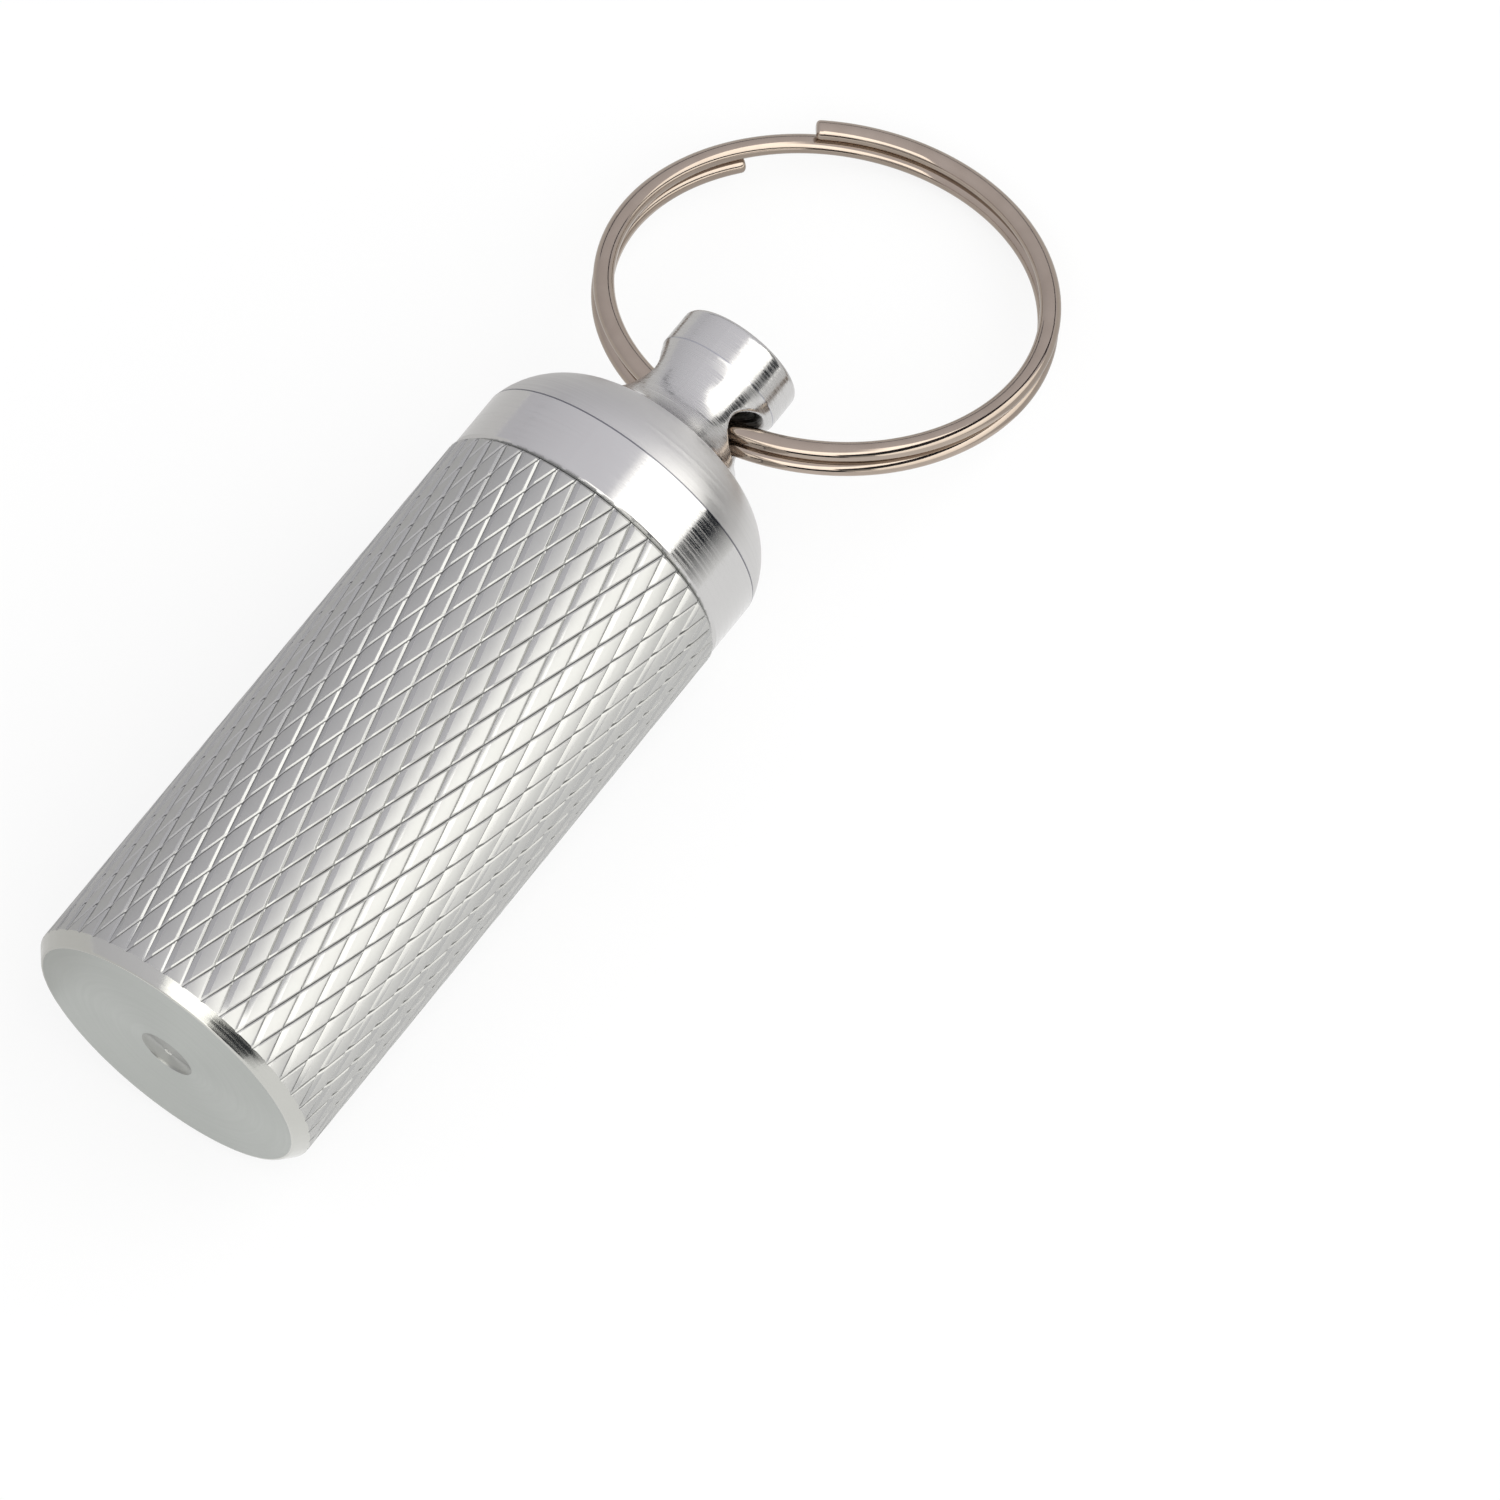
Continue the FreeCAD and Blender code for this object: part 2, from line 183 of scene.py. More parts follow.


# the base, the neck and the bore, cut once and left matt: softer than the polished cap, and greyer, partly
# as painted shade for the shadowed floor that the base face mirrors
faced = {
    **turned, "colour": "#b0b3af", "dull": "#a7aaa6", "roughness": 0.36, "streak": 0.06, "stretch": 0.5,
    "lineDepth": 0.0003, "edges": (), "satin": 0.0,
}
# the centre mark, left by the drill: darker than the face round it, as painted shade in its hollow
shadedMark = {**faced, "colour": "#a3a4a0", "dull": "#999a96"}
# chamfer and centre point, cut with a keen tool: brighter than the face beside them
chamfered = {
    **turned, "colour": "#cbcbc6", "dull": "#c3c3be", "roughness": 0.17, "streak": 0.3,
    "edges": (), "satin": 0.0,
}

# bare aluminium under knurling wheels: flat pads keep the bar's satin surface, and the grooves are smoother
# and painted a little darker with depth, as painted shade; sizes are in mm
knurled = {
    "colour": "#b8b8b6", "groove": "#b4b4b2", "grooveFrom": 0.02,
    "roughness": 0.46, "grooveRoughness": 0.24, "wear": 0.06, "grain": 0.25, "grainDepth": 0.0015,
}
# the wide grooves' flanks, burnished by the wheel: smoother than the pads, so they turn bright or dark, and
# their colour is a touch darker than the pads', as painted shade
pressed = {**knurled, "colour": "#b4b4b3", "roughness": 0.22}
# the bottoms of the grooves, where metal is folded: fine dark lines of painted shade
creaseShade = {**knurled, "colour": "#80807f", "groove": "#626261", "roughness": 0.4}


def makeKnurledAluminium(name, settings, padRadius, grooveDepth):
    material, tree = newMaterial(name)
    place = addNode(tree, "ShaderNodeTexCoord").outputs["Object"]
    flat = addNode(tree, "ShaderNodeVectorMath", {0: place, 1: (0, 1, 1)},
                   operation="MULTIPLY").outputs["Vector"]
    radial = addNode(tree, "ShaderNodeVectorMath", {0: flat}, operation="LENGTH").outputs["Value"]
    # painted shade: the colour darkens with depth into the grooves, from the pads' tone to the groove tone
    depth = addNode(tree, "ShaderNodeMapRange", {
        "Value": radial, "From Min": (padRadius - settings["grooveFrom"]) * mm,
        "From Max": (padRadius - grooveDepth) * mm}).outputs["Result"]
    grain = addNode(tree, "ShaderNodeTexNoise", {
        "Vector": place, "Scale": 1 / (settings["grain"] * mm), "Detail": 3.0}).outputs["Fac"]
    colour = addNode(tree, "ShaderNodeMix", {
        "Factor": depth, "A": linearColour(settings["colour"]), "B": linearColour(settings["groove"])},
        data_type="RGBA").outputs[2]
    rough = addNode(tree, "ShaderNodeMapRange", {
        "Value": depth, "To Min": settings["roughness"],
        "To Max": settings["grooveRoughness"]}).outputs["Result"]
    worn = addNode(tree, "ShaderNodeMath", {0: grain, 1: settings["wear"], 2: rough},
                   operation="MULTIPLY_ADD").outputs["Value"]
    bump = addNode(tree, "ShaderNodeBump", {
        "Height": grain, "Strength": 1.0, "Distance": settings["grainDepth"] * mm})
    shader = addNode(tree, "ShaderNodeBsdfPrincipled", {
        "Base Color": colour, "Metallic": 1.0, "Roughness": worn, "Normal": bump.outputs["Normal"]})
    addNode(tree, "ShaderNodeOutputMaterial", {"Surface": shader.outputs["BSDF"]})
    return material


# bright nickel plate on spring steel: a warm taupe mirror with faint handling haze, its size in mm and its
# least and most share of the roughness
nickel = {
    "colour": "#b7aa9e", "haze": "#a5978b", "hazeSize": 1.5,
    "roughness": 0.1, "hazeLeast": 0.7, "hazeMost": 1.4,
}


def makeNickelPlate():
    material, tree = newMaterial("nickel plated steel")
    place = addNode(tree, "ShaderNodeTexCoord").outputs["Object"]
    haze = addNode(tree, "ShaderNodeTexNoise", {
        "Vector": place, "Scale": 1 / (nickel["hazeSize"] * mm), "Detail": 4.0}).outputs["Fac"]
    colour = addNode(tree, "ShaderNodeMix", {
        "Factor": haze, "A": linearColour(nickel["colour"]), "B": linearColour(nickel["haze"])},
        data_type="RGBA").outputs[2]
    rough = addNode(tree, "ShaderNodeMapRange", {
        "Value": haze, "To Min": nickel["roughness"] * nickel["hazeLeast"],
        "To Max": nickel["roughness"] * nickel["hazeMost"]}).outputs["Result"]
    shader = addNode(tree, "ShaderNodeBsdfPrincipled", {
        "Base Color": colour, "Metallic": 1.0, "Roughness": rough})
    addNode(tree, "ShaderNodeOutputMaterial", {"Surface": shader.outputs["BSDF"]})
    return material


# moulded nitrile rubber: matt black with a faint grey bloom and a fine moulded grain, its sizes in mm
rubber = {
    "colour": "#1b1b1c", "bloom": "#2c2c2d", "roughness": 0.62, "ior": 1.52,
    "grain": 0.12, "grainStrength": 0.6, "grainDepth": 0.01,
}


def makeRubber():
    material, tree = newMaterial("black nitrile rubber")
    place = addNode(tree, "ShaderNodeTexCoord").outputs["Object"]
    grain = addNode(tree, "ShaderNodeTexNoise", {
        "Vector": place, "Scale": 1 / (rubber["grain"] * mm), "Detail": 3.0}).outputs["Fac"]
    colour = addNode(tree, "ShaderNodeMix", {
        "Factor": grain, "A": linearColour(rubber["colour"]), "B": linearColour(rubber["bloom"])},
        data_type="RGBA").outputs[2]
    bump = addNode(tree, "ShaderNodeBump", {
        "Height": grain, "Strength": rubber["grainStrength"], "Distance": rubber["grainDepth"] * mm})
    shader = addNode(tree, "ShaderNodeBsdfPrincipled", {
        "Base Color": colour, "Roughness": rubber["roughness"], "IOR": rubber["ior"],
        "Normal": bump.outputs["Normal"]})
    addNode(tree, "ShaderNodeOutputMaterial", {"Surface": shader.outputs["BSDF"]})
    return material


# canister, in mm: two families of knurl grooves, each section given across the groove as (offset, depth),
# with the numbers of its crease strips, in painted shade, and of its burnished ones; leans and turns are
# degrees
canister = {
    "radius": 9.8, "grooves": 45, "shoulder": 39.8, "shoulderEdge": 0.15,
    "thinLean": 17.92, "thinCrease": (2, 3),
    "thinGroove": (
        (-0.16, 0.0), (-0.12, 0.01), (-0.035, 0.075), (0.0, 0.11), (0.035, 0.075), (0.1, 0.01), (0.13, 0.0),
    ),
    "wideLean": 15.17, "wideFlank": (1, 2, 4), "wideCrease": (3,),
    "wideGroove": ((-0.18, 0.0), (-0.14, 0.02), (-0.08, 0.075), (-0.025, 0.13), (0.0, 0.135), (0.31, 0.0)),
    "knurlTurn": 2.25, "knurlShift": -1.6, "knurlSpare": 4.0, "fadeLength": 1.2, "fadeLeast": 0.3,
    "chamferWidth": 0.65, "chamferLength": 0.8, "underGroove": 0.02,
    "rimRound": 0.12, "rimSteps": (0, 0.3, 0.5, 0.7, 1),
    "markRadius": 1.68, "markSlope": 0.12, "markDepth": 0.15,
    "pointRadius": 0.25, "pointDepth": 0.2, "pointEnd": 0.02,
    "baseDepth": 1.0, "neckRadius": 7.2, "neckFoot": 0.3, "sharpAngle": 12.0,
    "merge": 0.002, "sliver": 0.001, "cutReach": 0.0005, "loopReach": 0.01,  # how near counts as touching
}
grooveDepth = max(depth for offset, depth in (*canister["thinGroove"], *canister["wideGroove"]))
padSkin, flankSkin, creaseSkin, faceSkin, chamferSkin, markSkin = range(6)  # the order of its materials


def grooveLines(section, spacing):
    # one period across a family of grooves: the groove, then the flat pad beside it
    lines = [(offset / spacing, depth) for offset, depth in section]
    return [*lines, (1 + lines[0][0], lines[0][1])]


def drawKnurl(bm):
    radius, count = canister["radius"], canister["grooves"]
    around = 2 * math.pi * radius / count
    thinLean, wideLean = math.radians(canister["thinLean"]), math.radians(canister["wideLean"])
    thinLines = grooveLines(canister["thinGroove"], around * math.cos(thinLean))
    wideLines = grooveLines(canister["wideGroove"], around * math.cos(wideLean))
    thinRise, wideRise = math.tan(thinLean) / around, math.tan(wideLean) / around
    columns, rows = len(thinLines) - 1, len(wideLines) - 1
    length = canister["shoulder"] + canister["knurlSpare"]
    periods = math.ceil(length * (thinRise + wideRise)) + 2  # a spare one at each end
    # one strip between two thin grooves, crossed by all the wide ones
    bmesh.ops.create_grid(bm, x_segments=columns, y_segments=rows * periods, size=0.5)
    for face in bm.faces:
        middle = face.calc_center_median()
        column = math.floor((middle.x + 0.5) * columns)
        row = math.floor((middle.y + 0.5) * rows * periods) % rows
        onPad = column == columns - 1
        onFlank = onPad and row in canister["wideFlank"]
        inCrease = column in canister["thinCrease"] or onPad and row in canister["wideCrease"]
        # crease strips take the painted shade, flank strips the burnished finish
        face.material_index = creaseSkin if inCrease else flankSkin if onFlank else padSkin
    share = thinRise / (thinRise + wideRise)
    thinHalf = math.pi / count * (thinLines[-1][0] - thinLines[-2][0]) * (1 - share)
    wideHalf = math.pi / count * (wideLines[-1][0] - wideLines[-2][0]) * share
    for v in bm.verts:
        column = round((v.co.x + 0.5) * columns)
        thinPhase, thinDepth = thinLines[column]
        crossing, part = divmod(round((v.co.y + 0.5) * rows * periods), rows)
        widePhase, wideDepth = wideLines[part]
        x = (crossing - 1 + widePhase - thinPhase) / (thinRise + wideRise)
        turn = 2 * math.pi / count * (thinPhase + thinRise * x) + math.radians(canister["knurlTurn"])
        x += canister["knurlShift"]
        # the wheels ride off the end, so the grooves fade towards the chamfer
        fade = min(max((x - canister["chamferLength"]) / canister["fadeLength"], canister["fadeLeast"]), 1)
        reach = radius - max(thinDepth, wideDepth) * fade
        if reach == radius:  # a pad's corner, drawn in so that the pad is flat
            lean = -thinHalf if column == columns - 1 else thinHalf
            lean += -wideHalf if part == rows - 1 else wideHalf
            reach *= math.cos(thinHalf + wideHalf) / math.cos(lean)
        v.co = (x, reach * math.cos(turn), reach * math.sin(turn))
    bmesh.ops.spin(bm, geom=everything(bm), cent=(0, 0, 0), axis=(1, 0, 0),
                   angle=2 * math.pi * (count - 1) / count, steps=count - 1, use_duplicate=True)
    bmesh.ops.remove_doubles(bm, verts=bm.verts[:], dist=canister["merge"])
    for x, side in ((canister["chamferLength"], -1), (canister["shoulder"] - canister["shoulderEdge"], 1)):
        bmesh.ops.bisect_plane(bm, geom=everything(bm), dist=canister["cutReach"],
                               plane_co=(x, 0, 0), plane_no=(side, 0, 0), clear_outer=True)
    bmesh.ops.dissolve_degenerate(bm, dist=canister["sliver"], edges=bm.edges[:])


def openLoop(bm, x):
    reach = canister["loopReach"]
    return [e for e in bm.edges if e.is_boundary and all(abs(v.co.x - x) < reach for v in e.verts)]


def drawLoop(bm, loop, x, radius, skin=None):
    # carries an open loop on to a circle round the axis, in its neighbours' material if none is given, and
    # gives the new loop
    made = bmesh.ops.extrude_edge_only(bm, edges=loop)["geom"]
    for part in made:
        if isinstance(part, bmesh.types.BMVert):
            out = Vector((0, part.co.y, part.co.z)).normalized() * radius
            part.co = (x, out.y, out.z)
        elif isinstance(part, bmesh.types.BMFace) and skin is not None:
            part.material_index = skin
    return [e for e in made if isinstance(e, bmesh.types.BMEdge) and e.is_boundary]


def makeCanister(materials):
    radius, shoulder = canister["radius"], canister["shoulder"]
    width, length = canister["chamferWidth"], canister["chamferLength"]
    wall = bmesh.new()
    drawKnurl(wall)
    rim, foot = radius - width, radius - grooveDepth - canister["underGroove"]
    drawLoop(wall, openLoop(wall, shoulder - canister["shoulderEdge"]), shoulder, foot)

    # the turned chamfer cuts across the grooves, then the base face runs in to its centre mark
    slope = length / width
    loop = openLoop(wall, length)
    for v in {v for e in loop for v in e.verts}:  # each groove runs on to the chamfer's cone
        v.co.x = length - (radius - math.hypot(v.co.y, v.co.z)) * slope
    loop = drawLoop(wall, loop, length - (radius - foot) * slope, foot, chamferSkin)
    cone = canister["rimRound"] / math.hypot(length, width)
    for t in canister["rimSteps"]:  # round the rim, from the chamfer to the base face
        onCone = (1 - t) ** 2 * cone
        reach = rim + onCone * width - t ** 2 * canister["rimRound"]
        loop = drawLoop(wall, loop, onCone * length, reach, chamferSkin)
    loop = drawLoop(wall, loop, 0, canister["markRadius"] + canister["markSlope"], faceSkin)
    # the mark's wall and floor take its painted shade
    loop = drawLoop(wall, loop, canister["markDepth"], canister["markRadius"], markSkin)
    loop = drawLoop(wall, loop, canister["markDepth"], canister["pointRadius"], markSkin)
    pointDepth = canister["markDepth"] + canister["pointDepth"]
    loop = drawLoop(wall, loop, pointDepth, canister["pointEnd"], chamferSkin)
    tip = {v for e in loop for v in e.verts}
    bmesh.ops.pointmerge(wall, verts=list(tip), merge_co=(pointDepth, 0, 0))
    sleeve = bpy.data.meshes.new("sleeve")
    wall.to_mesh(sleeve)
    wall.free()

    # threaded neck, mouth and bore come from the frame's own canister
    bm = bmesh.new()
    bm.from_mesh(nodes["canister"].data)
    bmesh.ops.scale(bm, vec=(1 / mm, 1 / mm, 1 / mm), verts=bm.verts[:])
    bmesh.ops.remove_doubles(bm, verts=bm.verts[:], dist=canister["merge"])
    outside = []
    for face in bm.faces:
        middle = face.calc_center_median()
        onWall = math.hypot(middle.y, middle.z) > canister["neckRadius"] - canister["neckFoot"]
        if middle.x < canister["baseDepth"] or onWall and middle.x < shoulder + canister["loopReach"]:
            outside.append(face)
        face.material_index = faceSkin
    bmesh.ops.delete(bm, geom=outside, context="FACES")
    bm.from_mesh(sleeve)
    bpy.data.meshes.remove(sleeve)
    for face in bmesh.ops.bridge_loops(bm, edges=openLoop(bm, shoulder))["faces"]:
        face.material_index = faceSkin
    return finishPiece("knurled_canister", bm, materials, canister["sharpAngle"])


# split ring, in mm and degrees: flattened oval wire, wound as a close spring of nearly two turns; the
# first end's angle is from the far side of the ring, and the wire runs clockwise from it
splitRing = {
    "outer": 27.88, "width": 1.28, "height": 1.08, "sides": 28,
    "pitch": 1.19, "firstEnd": 39.7, "run": 701.6, "facet": 2.0,
    "endRound": 0.26, "endSteps": 4, "sharpAngle": 40.0,
    "lean": 19.4, "centre": (63.27, -0.06, -4.37),
}


def makeSplitRing(material):
    width, run = splitRing["width"], splitRing["run"]
    fall = splitRing["pitch"] * splitRing["facet"] / 360  # from one facet to the next
    steps = round(run / splitRing["facet"])
    bm = bmesh.new()
    bmesh.ops.create_circle(bm, cap_ends=False, segments=splitRing["sides"], radius=0.5)
    bmesh.ops.scale(bm, vec=(width, splitRing["height"], 1), verts=bm.verts[:])
    turnDrawing(bm, 90, "X")
    bmesh.ops.translate(bm, verts=bm.verts[:], vec=((splitRing["outer"] - width) / 2, 0, fall * steps / 2))
    turnDrawing(bm, splitRing["firstEnd"], "Z")
    bmesh.ops.spin(bm, geom=everything(bm), cent=(0, 0, 0), axis=(0, 0, 1), dvec=(0, 0, -fall),
                   angle=-math.radians(run), steps=steps)
    ends = [e for e in bm.edges if e.is_boundary]
    bmesh.ops.holes_fill(bm, edges=ends, sides=0)
    bmesh.ops.bevel(bm, geom=ends, offset=splitRing["endRound"], affect="EDGES",
                    segments=splitRing["endSteps"], profile=0.5, material=-1)
    turnDrawing(bm, splitRing["lean"], "Y")
    bmesh.ops.translate(bm, verts=bm.verts[:], vec=splitRing["centre"])
    return finishPiece("flat_wire_ring", bm, [material], splitRing["sharpAngle"])


turnedAluminium = makeTurnedAluminium("turned aluminium", turned)
facedAluminium = makeTurnedAluminium("faced aluminium", faced)
shadedMarkAluminium = makeTurnedAluminium("drilled aluminium in painted shade", shadedMark)
chamferAluminium = makeTurnedAluminium("chamfered aluminium", chamfered)
knurledAluminium = makeKnurledAluminium("knurled aluminium", knurled, canister["radius"], grooveDepth)
pressedAluminium = makeKnurledAluminium("pressed aluminium", pressed, canister["radius"], grooveDepth)
creaseShadeAluminium = makeKnurledAluminium("creased aluminium", creaseShade, canister["radius"], grooveDepth)
nickelPlate = makeNickelPlate()
nitrileRubber = makeRubber()
print("materials made")

canisterPiece = makeCanister([
    knurledAluminium, pressedAluminium, creaseShadeAluminium, facedAluminium, chamferAluminium, shadedMarkAluminium])
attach(canisterPiece, "canister")
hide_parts("canister")

ringPiece = makeSplitRing(nickelPlate)
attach(ringPiece, "split_ring")
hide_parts("split_ring")

nodes["cap"].material_slots[0].material = turnedAluminium
nodes["seal_ring"].material_slots[0].material = nitrileRubber
print("pieces dressed")


# studio, in metres and degrees: a white floor, and round it what only the metal sees: a grey tent, a wide
# curved softbox on the right with a soft upper edge, grey sheets on the floor and black flags, one low by
# the camera, one a strip along the far horizon and two small cards beside the cap and the ring
studio = {
    "floorHeight": -0.0098, "floorSize": 6.0, "floorColour": "#f6f6f6", "floorLift": 0.8, "worldFill": 0.75,
    "beltRows": 12, "beltColumns": 48,
    "tentBelt": {"radius": 2.0, "low": 0.0, "high": 90.0, "start": 0.0, "span": 360.0},
    "tentColour": "#e2e1e6", "tentGlow": 0.96, "tentRise": (0.0, -0.12, 0.19),
    "boxBelt": {"radius": 0.9, "low": -1.0, "high": 67.0, "start": -192.0, "span": 166.0},
    "boxColour": "#fffefa", "boxGlow": 2.7, "boxLowGlow": 1.6, "boxFade": 57.0,
    "flagColour": "#25282d",
    "flagBelt": {"radius": 0.8, "low": -1.0, "high": 24.0, "start": -166.0, "span": 41.0},
    "stripBelt": {"radius": 1.5, "low": 9.0, "high": 13.5, "start": -18.0, "span": 80.0},
    "capCard": ((0.0442, -0.02, -0.0005), (0.05, -0.02, 0.0102)),
    "capCardFade": 0.006, "capCardLight": "#f6f6f4",
    "ringCard": ((0.05, -0.02, 0.003), (0.13, -0.02, 0.0102)),
    "sheetColour": "#dedddc",
    "sheets": (
        ((-0.6, 0.012, -0.0096), (0.6, 1.6, -0.0096)),
        ((0.065, -0.4, -0.0096), (0.6, 0.012, -0.0096)),
    ),
    "lampAngle": 133.0, "lampDistance": 0.62, "lampAlong": 0.2,
    "lampLength": 1.5, "lampHeight": 0.7, "lampPower": 4.5,
}
onlyReflected = (
    "visible_camera", "visible_diffuse", "visible_transmission", "visible_volume_scatter", "visible_shadow",
)


def seenByEye(tree):
    # 1 for camera, mirror and glass rays, so that they all meet the same white
    rays = addNode(tree, "ShaderNodeLightPath").outputs
    both = addNode(tree, "ShaderNodeMath", {0: rays["Is Camera Ray"], 1: rays["Is Glossy Ray"]},
                   operation="MAXIMUM").outputs["Value"]
    return addNode(tree, "ShaderNodeMath", {0: both, 1: rays["Is Transmission Ray"]},
                   operation="MAXIMUM").outputs["Value"]


def makeFloor():
    bm = bmesh.new()
    bmesh.ops.create_grid(bm, x_segments=1, y_segments=1, size=studio["floorSize"] / 2)
    bmesh.ops.translate(bm, verts=bm.verts[:], vec=(0, 0, studio["floorHeight"]))
    floor = newObject("studio_floor", bm)
    material, tree = newMaterial("white paper sweep")
    lift = addNode(tree, "ShaderNodeMath", {0: seenByEye(tree), 1: studio["floorLift"]},
                   operation="MULTIPLY").outputs["Value"]
    paper = addNode(tree, "ShaderNodeBsdfDiffuse", {"Color": linearColour(studio["floorColour"])})
    white = addNode(tree, "ShaderNodeEmission", {"Color": (1, 1, 1, 1), "Strength": 1.0})
    mixed = addNode(tree, "ShaderNodeMixShader", {
        0: lift, 1: paper.outputs["BSDF"], 2: white.outputs["Emission"]})
    addNode(tree, "ShaderNodeOutputMaterial", {"Surface": mixed.outputs["Shader"]})
    floor.data.materials.append(material)


def makeCloth(name, colour):
    material, tree = newMaterial(name)
    glow = addNode(tree, "ShaderNodeEmission", {"Color": linearColour(colour), "Strength": 1.0})
    addNode(tree, "ShaderNodeOutputMaterial", {"Surface": glow.outputs["Emission"]})
    return material


def makeTentCloth():
    # lightest overhead, greyer towards the far side
    material, tree = newMaterial("grey tent cloth")
    place = addNode(tree, "ShaderNodeTexCoord").outputs["Object"]
    slope = tuple(rise / studio["tentBelt"]["radius"] for rise in studio["tentRise"])
    rise = addNode(tree, "ShaderNodeVectorMath", {0: place, 1: slope},
                   operation="DOT_PRODUCT").outputs["Value"]
    strength = addNode(tree, "ShaderNodeMath", {0: rise, 1: studio["tentGlow"]},
                       operation="ADD").outputs["Value"]
    glow = addNode(tree, "ShaderNodeEmission", {
        "Color": linearColour(studio["tentColour"]), "Strength": strength})
    addNode(tree, "ShaderNodeOutputMaterial", {"Surface": glow.outputs["Emission"]})
    return material


def makeSoftboxCloth():
    # white, brightest below its upper edge and fading there into the tent
    radius, high = studio["boxBelt"]["radius"], studio["boxBelt"]["high"]
    fadeFrom, fadeTo = (radius * math.sin(math.radians(angle)) for angle in (studio["boxFade"], high))
    white = linearColour(studio["boxColour"])[:3]
    dim, bright = ((*(c * studio[glow] for c in white), 1.0) for glow in ("boxLowGlow", "boxGlow"))
    material, tree = newMaterial("softbox front")
    place = addNode(tree, "ShaderNodeTexCoord").outputs["Object"]
    height = addNode(tree, "ShaderNodeSeparateXYZ", {"Vector": place}).outputs["Z"]
    fade = addNode(tree, "ShaderNodeMapRange", {
        "Value": height, "From Min": fadeFrom, "From Max": fadeTo},
        interpolation_type="SMOOTHSTEP").outputs["Result"]
    rise = addNode(tree, "ShaderNodeMapRange", {
        "Value": height, "From Min": 0.0, "From Max": fadeFrom}).outputs["Result"]
    lit = addNode(tree, "ShaderNodeMix", {"Factor": rise, "A": dim, "B": bright}, data_type="RGBA").outputs[2]
    colour = addNode(tree, "ShaderNodeMix", {
        "Factor": fade, "A": lit, "B": linearColour(studio["tentColour"])}, data_type="RGBA").outputs[2]
    glow = addNode(tree, "ShaderNodeEmission", {"Color": colour, "Strength": 1.0})
    addNode(tree, "ShaderNodeOutputMaterial", {"Surface": glow.outputs["Emission"]})
    return material


def makeFadedCloth():
    # black above, growing light towards the card's lower edge
    lowerEdge = studio["capCard"][0][2]
    material, tree = newMaterial("faded flag cloth")
    place = addNode(tree, "ShaderNodeTexCoord").outputs["Object"]
    height = addNode(tree, "ShaderNodeSeparateXYZ", {"Vector": place}).outputs["Z"]
    fade = addNode(tree, "ShaderNodeMapRange", {
        "Value": height, "From Min": studio["capCardFade"], "From Max": lowerEdge}).outputs["Result"]
    colour = addNode(tree, "ShaderNodeMix", {
        "Factor": fade, "A": linearColour(studio["flagColour"]), "B": linearColour(studio["capCardLight"])},
        data_type="RGBA").outputs[2]
    glow = addNode(tree, "ShaderNodeEmission", {"Color": colour, "Strength": 1.0})
    addNode(tree, "ShaderNodeOutputMaterial", {"Surface": glow.outputs["Emission"]})
    return material


def makeCard(name, bm, material):
    card = newObject(name, bm)
    card.data.materials.append(material)
    for ray in onlyReflected:
        setattr(card, ray, False)


def drawBelt(radius, low, high, start, span):
    # part of a sphere round the object, between two heights in degrees
    bm = bmesh.new()
    bmesh.ops.create_vert(bm, co=(radius, 0, 0))
    turnDrawing(bm, -low, "Y")
    bmesh.ops.spin(bm, geom=bm.verts[:], cent=(0, 0, 0), axis=(0, -1, 0),
                   angle=math.radians(high - low), steps=studio["beltRows"])
    turnDrawing(bm, start, "Z")
    bmesh.ops.spin(bm, geom=everything(bm), cent=(0, 0, 0), axis=(0, 0, 1),
                   angle=math.radians(span), steps=studio["beltColumns"], use_merge=span == 360)
    return bm


def drawCard(low, high):
    # a flat card between two corners, lying down or standing along the canister
    low, high = Vector(low), Vector(high)
    bm = bmesh.new()
    bmesh.ops.create_grid(bm, x_segments=1, y_segments=1, size=0.5)
    if low.y == high.y:
        turnDrawing(bm, 90, "X")
    bmesh.ops.scale(bm, vec=high - low, verts=bm.verts[:])
    bmesh.ops.translate(bm, verts=bm.verts[:], vec=(low + high) / 2)
    return bm


def makeCards():
    makeCard("grey_tent", drawBelt(**studio["tentBelt"]), makeTentCloth())
    blackCloth = makeCloth("black flag cloth", studio["flagColour"])
    makeCard("low_flag", drawBelt(**studio["flagBelt"]), blackCloth)
    makeCard("horizon_flag", drawBelt(**studio["stripBelt"]), blackCloth)
    makeCard("cap_flag", drawCard(*studio["capCard"]), makeFadedCloth())
    makeCard("ring_flag", drawCard(*studio["ringCard"]), blackCloth)
    greyPaper = makeCloth("grey paper", studio["sheetColour"])
    for corners in studio["sheets"]:
        makeCard("grey_sheet", drawCard(*corners), greyPaper)
    makeCard("softbox_front", drawBelt(**studio["boxBelt"]), makeSoftboxCloth())


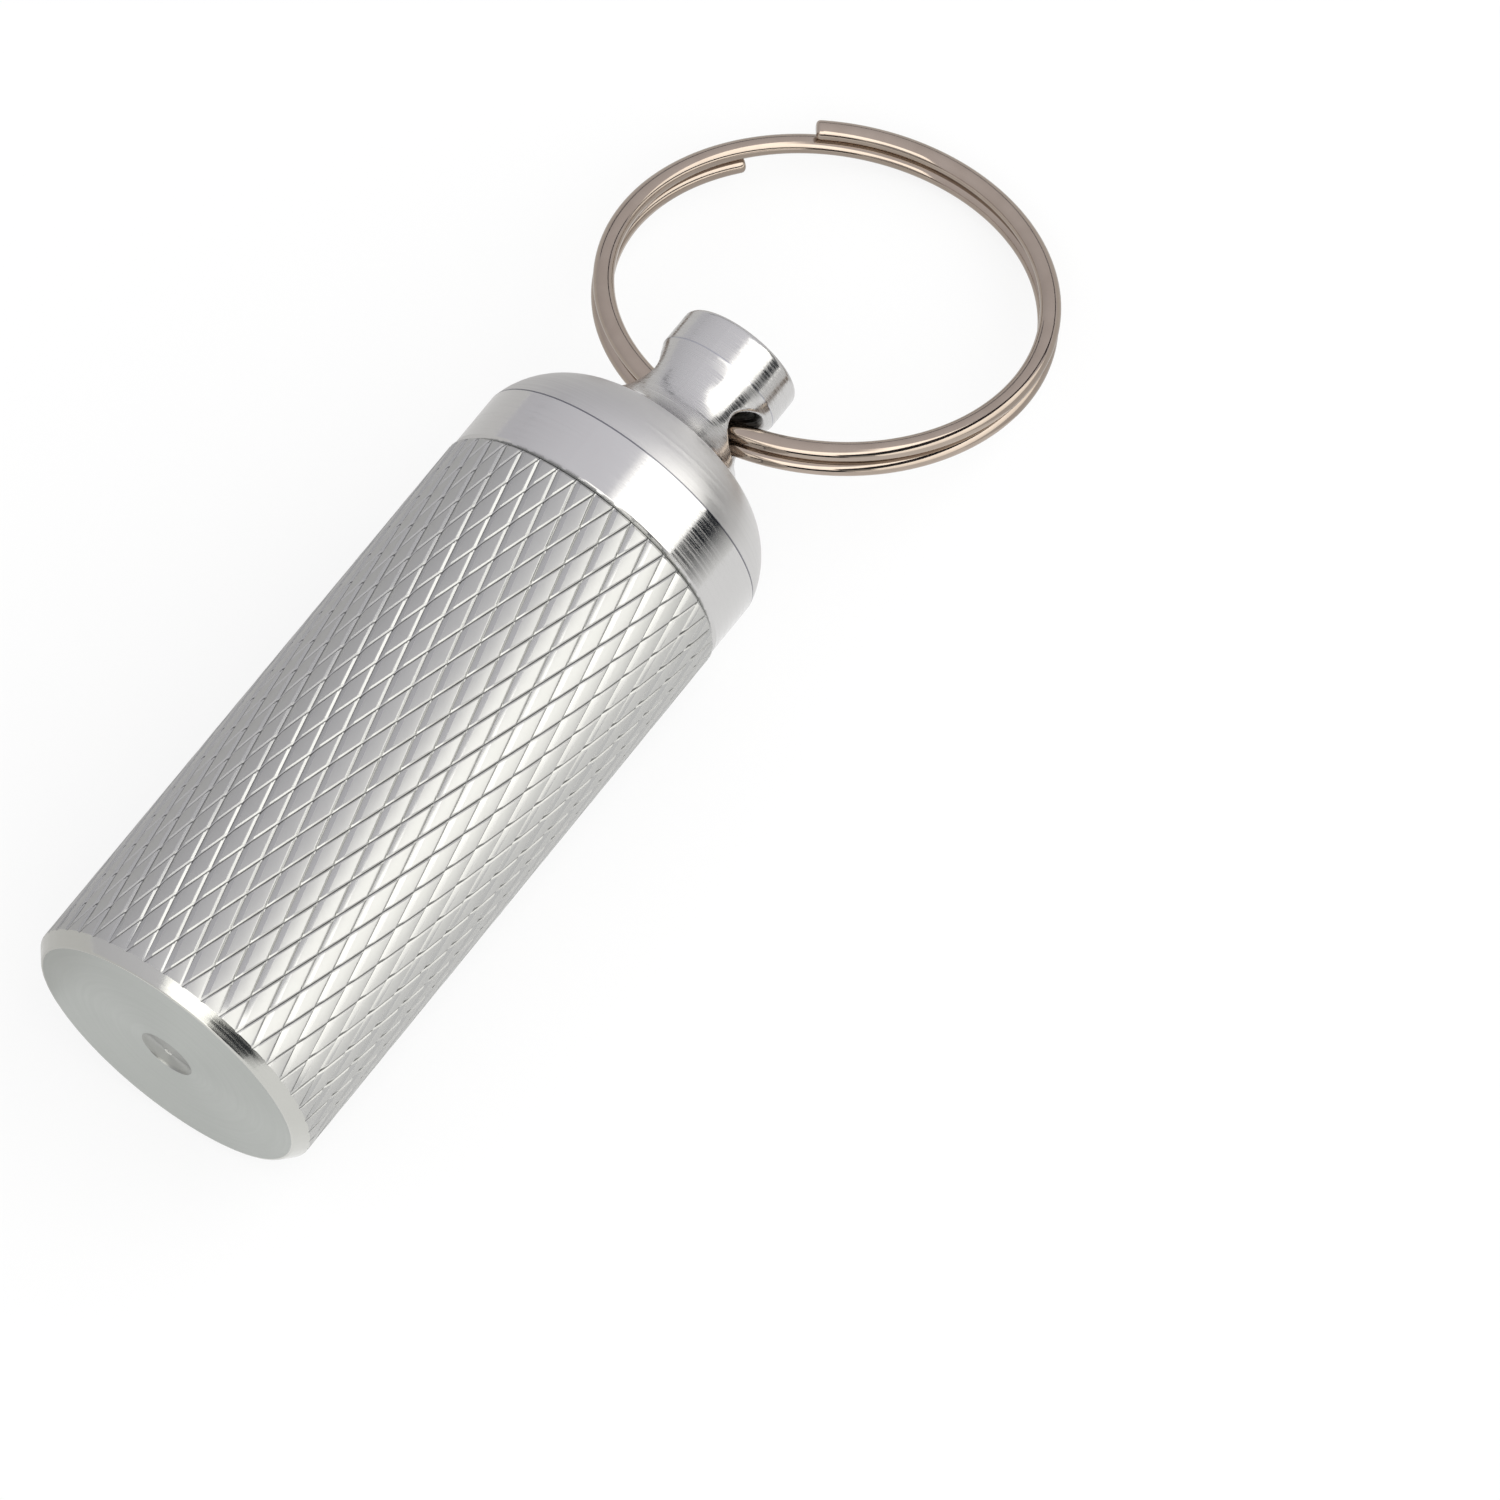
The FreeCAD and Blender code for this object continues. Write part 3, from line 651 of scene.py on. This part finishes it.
def makeLamp():
    # the softbox's lamp lights the floor, its lit front is what metal shows
    lamp = bpy.data.lights.new("softbox lamp", "AREA")
    lamp.shape = "RECTANGLE"
    lamp.size, lamp.size_y, lamp.energy = studio["lampLength"], studio["lampHeight"], studio["lampPower"]
    angle, side = math.radians(studio["lampAngle"]), Vector((1, 0, 0))
    out = Vector((0, math.cos(angle), math.sin(angle)))
    place = out * studio["lampDistance"] + side * studio["lampAlong"]
    turnTo = Matrix((side, out.cross(side), out)).transposed().to_4x4()
    softbox = bpy.data.objects.new("softbox lamp", lamp)
    softbox.matrix_world = Matrix.Translation(place) @ turnTo
    softbox.visible_glossy = False
    scene.collection.objects.link(softbox)


def makeWorld():
    world = bpy.data.worlds.new("white studio")
    world.use_nodes = True
    tree = world.node_tree
    tree.nodes.clear()
    strength = addNode(tree, "ShaderNodeMapRange", {
        "Value": seenByEye(tree), "To Min": studio["worldFill"], "To Max": 1.0}).outputs["Result"]
    sky = addNode(tree, "ShaderNodeBackground", {"Color": (1, 1, 1, 1), "Strength": strength})
    addNode(tree, "ShaderNodeOutputWorld", {"Surface": sky.outputs["Background"]})
    scene.world = world


# long lens from above the base end, in mm, rolled so that the fob lies across the frame; clips in metres
view = {
    "lens": 360.0, "sensor": 36.0, "clipNear": 0.01, "clipFar": 20.0,
    "place": (-250.861, -325.675, 762.691),
    "ahead": (0.32785, 0.35517, -0.87543), "up": (0.73308, 0.48885, 0.47287),
}


def makeCamera():
    data = bpy.data.cameras.new("product camera")
    data.lens, data.sensor_width = view["lens"], view["sensor"]
    data.clip_start, data.clip_end = view["clipNear"], view["clipFar"]
    camera = bpy.data.objects.new("product camera", data)
    ahead, up = Vector(view["ahead"]).normalized(), Vector(view["up"]).normalized()
    right = ahead.cross(up).normalized()
    turnTo = Matrix((right, right.cross(ahead), -ahead)).transposed()
    camera.matrix_world = Matrix.Translation(Vector(view["place"]) * mm) @ turnTo.to_4x4()
    scene.collection.objects.link(camera)
    scene.camera = camera


makeFloor()
makeCards()
makeLamp()
makeWorld()
makeCamera()
scene.view_settings.view_transform = "Standard"
print("studio and camera made")
